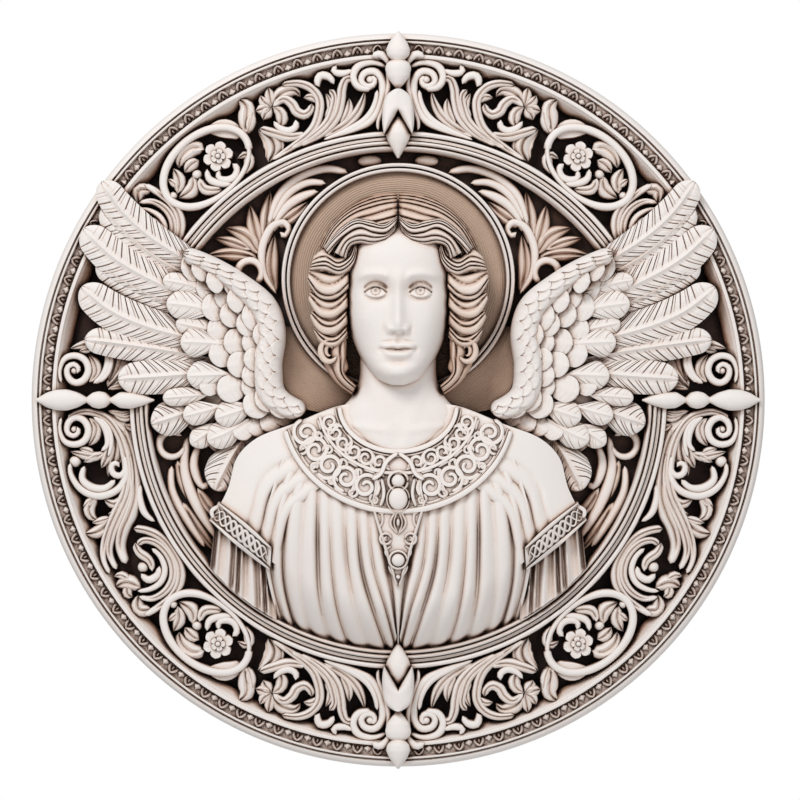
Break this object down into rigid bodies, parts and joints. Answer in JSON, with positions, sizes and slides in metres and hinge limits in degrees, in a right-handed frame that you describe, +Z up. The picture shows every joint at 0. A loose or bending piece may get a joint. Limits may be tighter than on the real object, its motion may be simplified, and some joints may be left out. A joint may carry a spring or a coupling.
{
  "type": "garden wall plaque",
  "caption": "Round cast wall plaque with an angel in high relief, half length between raised wings before a ringed halo, inside a border of scrollwork and bud finials.",
  "frame": {"origin": "middle of the flat back, which rests on the wall", "axes": "+Z up on the wall, +Y into the wall, so the carved front faces -Y and +X is to the viewer's right"},
  "size_m": [0.4, 0.0557, 0.4],
  "materials": {
    "antiqued_stone": "matte cast stone resin, cream with a brown wash in the hollows"
  },
  "bodies": {
    "root": {"plaque": "antiqued_stone"}
  },
  "joints": []
}
